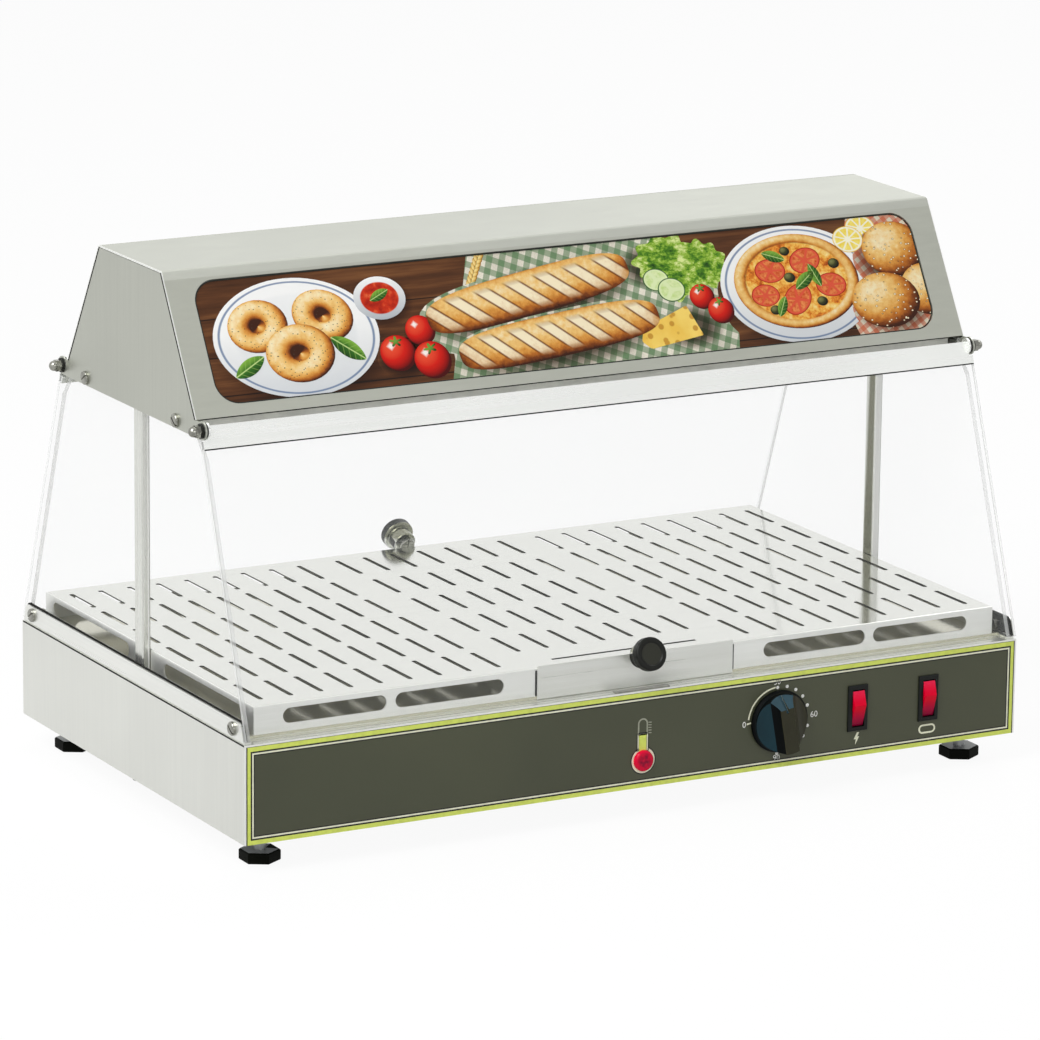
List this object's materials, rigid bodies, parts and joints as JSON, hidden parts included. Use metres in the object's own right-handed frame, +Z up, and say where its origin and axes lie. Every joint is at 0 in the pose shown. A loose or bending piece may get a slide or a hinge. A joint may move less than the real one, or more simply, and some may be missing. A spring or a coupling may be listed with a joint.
{
  "type": "heated display case",
  "caption": "Countertop heated display case with a control panel, slotted tray, clear side panes, clear flap doors front and rear, and a lit sloping hood with a picture window.",
  "frame": {"origin": "middle of the footprint, on the table under the feet", "axes": "+X to the right along the width, -Y out of the front with the controls, +Z up"},
  "size_m": [0.605, 0.38, 0.3744],
  "materials": {
    "steel": "fine vertical brushing, satin",
    "tray_steel": "bright satin",
    "bright_steel": "bright, smooth",
    "galvanised": "plain grey zinc",
    "panel": "dark olive print with pale green border lines",
    "clear": "clear acrylic, polished",
    "picture": "translucent print, glossy",
    "opal": "opal white",
    "black_plastic": "satin black",
    "dial_plastic": "very dark blue green, semi gloss",
    "red_plastic": "translucent red",
    "grey_plastic": "grey moulding",
    "white_plastic": "white moulding",
    "white_paint": "white enamel",
    "mineral_board": "pale mineral board",
    "copper": "dull copper",
    "heater": "dark annealed steel",
    "aluminium": "plain",
    "lamp_glass": "frosted white"
  },
  "bodies": {
    "cabinet": {"base_casing": "steel", "bottom_plate": "galvanised", "bottom_screws": "galvanised", "control_panel": "panel", "deck_plate": "steel", "bulkhead": "galvanised", "insulation_board": "mineral_board", "heat_tray": "aluminium", "heating_element": "heater", "element_supports": "galvanised", "terminal_block": "white_plastic", "cable_gland": "black_plastic", "strikes": "bright_steel", "thermostat_body": "grey_plastic", "thermostat_screws": "galvanised", "thermostat_bulb": "copper", "pilot_lens": "red_plastic", "pilot_lamp_body": "white_plastic", "switch_housings": "black_plastic", "grid_tray": "tray_steel", "water_drawer": "steel", "side_rails": "steel", "rail_screws": "bright_steel", "rail_spacers": "black_plastic", "side_pane_left": "clear", "side_pane_right": "clear", "posts": "steel", "hood_shell": "steel", "picture_panel": "picture", "hood_cap_left": "steel", "hood_cap_right": "steel", "cap_screws": "bright_steel", "hood_floor": "white_paint", "lamp_diffuser": "opal", "lamp_tube": "lamp_glass", "lamp_caps": "aluminium", "lamp_holders": "white_plastic", "lamp_reflector": "white_paint", "foot_nuts": "galvanised"},
    "front_door": {"front_pane": "clear", "front_strip": "bright_steel", "front_washers": "black_plastic", "front_nuts": "bright_steel", "front_knob": "black_plastic", "front_knob_screw": "bright_steel"},
    "rear_door": {"rear_pane": "clear", "rear_strip": "bright_steel", "rear_washers": "black_plastic", "rear_nuts": "bright_steel", "rear_knob": "black_plastic", "rear_knob_screw": "bright_steel"},
    "thermostat_control": {"thermostat_shaft": "bright_steel", "thermostat_knob": "dial_plastic"},
    "left_rocker": {"rocker_left": "red_plastic"},
    "right_rocker": {"rocker_right": "red_plastic"},
    "foot_front_left": {"foot_front_left": "black_plastic"},
    "foot_front_right": {"foot_front_right": "black_plastic"},
    "foot_rear_left": {"foot_rear_left": "black_plastic"},
    "foot_rear_right": {"foot_rear_right": "black_plastic"}
  },
  "joints": [
    {"name": "front_door_hinge", "type": "hinge", "parent": "cabinet", "child": "front_door", "pos_m": [0, -0.1085, 0.281], "axis": [-1, 0, 0], "range_deg": [0, 188]},
    {"name": "rear_door_hinge", "type": "hinge", "parent": "cabinet", "child": "rear_door", "pos_m": [0, 0.1085, 0.281], "axis": [1, 0, 0], "range_deg": [0, 188]},
    {"name": "thermostat_turn", "type": "hinge", "parent": "cabinet", "child": "thermostat_control", "pos_m": [0.1048, -0.1745, 0.0535], "axis": [0, 1, 0], "range_deg": [-80, 190]},
    {"name": "left_rocker_tilt", "type": "hinge", "parent": "cabinet", "child": "left_rocker", "pos_m": [0.1674, -0.1721, 0.0545], "axis": [-1, 0, 0], "range_deg": [0, 9]},
    {"name": "right_rocker_tilt", "type": "hinge", "parent": "cabinet", "child": "right_rocker", "pos_m": [0.2239, -0.1721, 0.0545], "axis": [-1, 0, 0], "range_deg": [0, 9]},
    {"name": "foot_front_left_turn", "type": "hinge", "parent": "cabinet", "child": "foot_front_left", "pos_m": [-0.2697, -0.145, 0.006], "axis": [0, 0, 1], "range_deg": [-360, 360]},
    {"name": "foot_front_right_turn", "type": "hinge", "parent": "cabinet", "child": "foot_front_right", "pos_m": [0.2697, -0.145, 0.006], "axis": [0, 0, 1], "range_deg": [-360, 360]},
    {"name": "foot_rear_left_turn", "type": "hinge", "parent": "cabinet", "child": "foot_rear_left", "pos_m": [-0.2697, 0.145, 0.006], "axis": [0, 0, 1], "range_deg": [-360, 360]},
    {"name": "foot_rear_right_turn", "type": "hinge", "parent": "cabinet", "child": "foot_rear_right", "pos_m": [0.2697, 0.145, 0.006], "axis": [0, 0, 1], "range_deg": [-360, 360]}
  ]
}
